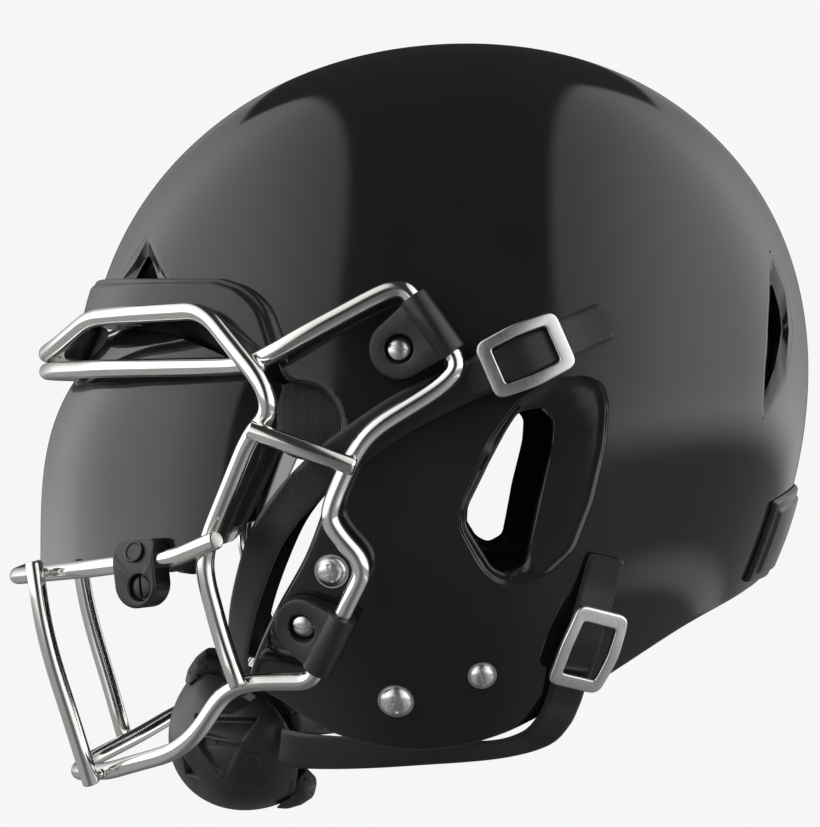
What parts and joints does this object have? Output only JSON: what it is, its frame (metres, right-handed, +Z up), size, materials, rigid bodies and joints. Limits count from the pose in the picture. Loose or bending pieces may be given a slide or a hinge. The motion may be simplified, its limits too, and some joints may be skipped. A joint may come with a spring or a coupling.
{
  "type": "american football helmet",
  "caption": "Full-size moulded football helmet with a welded wire face mask, tinted visor, inner pads, and a chin cup on buckled straps.",
  "frame": {"origin": "centre of the wearer's head, level with the top of the ear holes", "axes": "+X to the wearer's left, +Y to the back of the head, +Z up"},
  "size_m": [0.2644, 0.3218, 0.3117],
  "materials": {
    "gloss_shell": "polished black moulded shell",
    "satin_plastic": "satin black moulded plastic",
    "cup_plastic": "semi-gloss black moulded plastic",
    "chrome_wire": "bright plated steel wire",
    "nickel_hardware": "satin nickel",
    "pad_foam": "matt knitted cover over foam",
    "cup_liner_foam": "textured soft foam",
    "webbing": "woven black webbing",
    "tinted_visor": "dark tinted polycarbonate"
  },
  "bodies": {
    "shell": {"outer_shell": "gloss_shell", "front_bumper": "satin_plastic", "rear_bumper": "satin_plastic", "left_upper_mask_clip": "satin_plastic", "right_upper_mask_clip": "satin_plastic", "left_lower_mask_clip": "satin_plastic", "right_lower_mask_clip": "satin_plastic", "left_visor_clip": "satin_plastic", "right_visor_clip": "satin_plastic", "left_visor_clip_screw": "satin_plastic", "right_visor_clip_screw": "satin_plastic", "left_upper_buckle_base": "satin_plastic", "right_upper_buckle_base": "satin_plastic", "left_lower_buckle_base": "satin_plastic", "right_lower_buckle_base": "satin_plastic", "mask_upper_wire": "chrome_wire", "mask_lower_wire": "chrome_wire", "mask_visor_bar": "chrome_wire", "mask_brow_wire": "chrome_wire", "left_side_wire": "chrome_wire", "right_side_wire": "chrome_wire", "left_front_post": "chrome_wire", "right_front_post": "chrome_wire", "left_side_strut": "chrome_wire", "right_side_strut": "chrome_wire", "left_upper_clip_screw": "nickel_hardware", "right_upper_clip_screw": "nickel_hardware", "left_lower_clip_screw": "nickel_hardware", "right_lower_clip_screw": "nickel_hardware", "left_front_stud": "nickel_hardware", "right_front_stud": "nickel_hardware", "left_lower_stud": "nickel_hardware", "right_lower_stud": "nickel_hardware", "left_rear_stud": "nickel_hardware", "right_rear_stud": "nickel_hardware", "left_upper_snap_stud": "nickel_hardware", "right_upper_snap_stud": "nickel_hardware", "left_lower_snap_stud": "nickel_hardware", "right_lower_snap_stud": "nickel_hardware", "crown_pad": "pad_foam", "front_pad": "pad_foam", "rear_pad": "pad_foam", "left_side_pad": "pad_foam", "right_side_pad": "pad_foam", "left_jaw_pad": "pad_foam", "right_jaw_pad": "pad_foam", "left_temple_pad": "pad_foam", "right_temple_pad": "pad_foam", "left_upper_strap": "webbing", "right_upper_strap": "webbing", "left_lower_strap": "webbing", "right_lower_strap": "webbing", "visor": "tinted_visor"},
    "chin_cup": {"chin_cup": "cup_plastic", "chin_cup_liner": "cup_liner_foam"},
    "left_upper_buckle": {"left_upper_buckle_frame": "nickel_hardware"},
    "right_upper_buckle": {"right_upper_buckle_frame": "nickel_hardware"},
    "left_lower_buckle": {"left_lower_buckle_frame": "nickel_hardware"},
    "right_lower_buckle": {"right_lower_buckle_frame": "nickel_hardware"}
  },
  "joints": [
    {"name": "chin_cup_drop", "type": "slide", "parent": "shell", "child": "chin_cup", "axis": [0, 0, -1], "range_m": [0, 0.018], "deforming": ["left_upper_strap", "right_upper_strap", "left_lower_strap", "right_lower_strap"]},
    {"name": "left_upper_buckle_lift", "type": "hinge", "parent": "shell", "child": "left_upper_buckle", "pos_m": [0.1232, 0.01253, 0.01593], "axis": [0.0223, 0.3986, -0.9168], "range_deg": [0, 32]},
    {"name": "right_upper_buckle_lift", "type": "hinge", "parent": "shell", "child": "right_upper_buckle", "pos_m": [-0.1232, 0.01253, 0.01593], "axis": [0.0223, -0.3986, 0.9168], "range_deg": [0, 32]},
    {"name": "left_lower_buckle_lift", "type": "hinge", "parent": "shell", "child": "left_lower_buckle", "pos_m": [0.10236, 0.0432, -0.09782], "axis": [-0.3734, 0.893, -0.2512], "range_deg": [0, 32]},
    {"name": "right_lower_buckle_lift", "type": "hinge", "parent": "shell", "child": "right_lower_buckle", "pos_m": [-0.10236, 0.0432, -0.09782], "axis": [-0.3734, -0.893, 0.2512], "range_deg": [0, 32]}
  ]
}
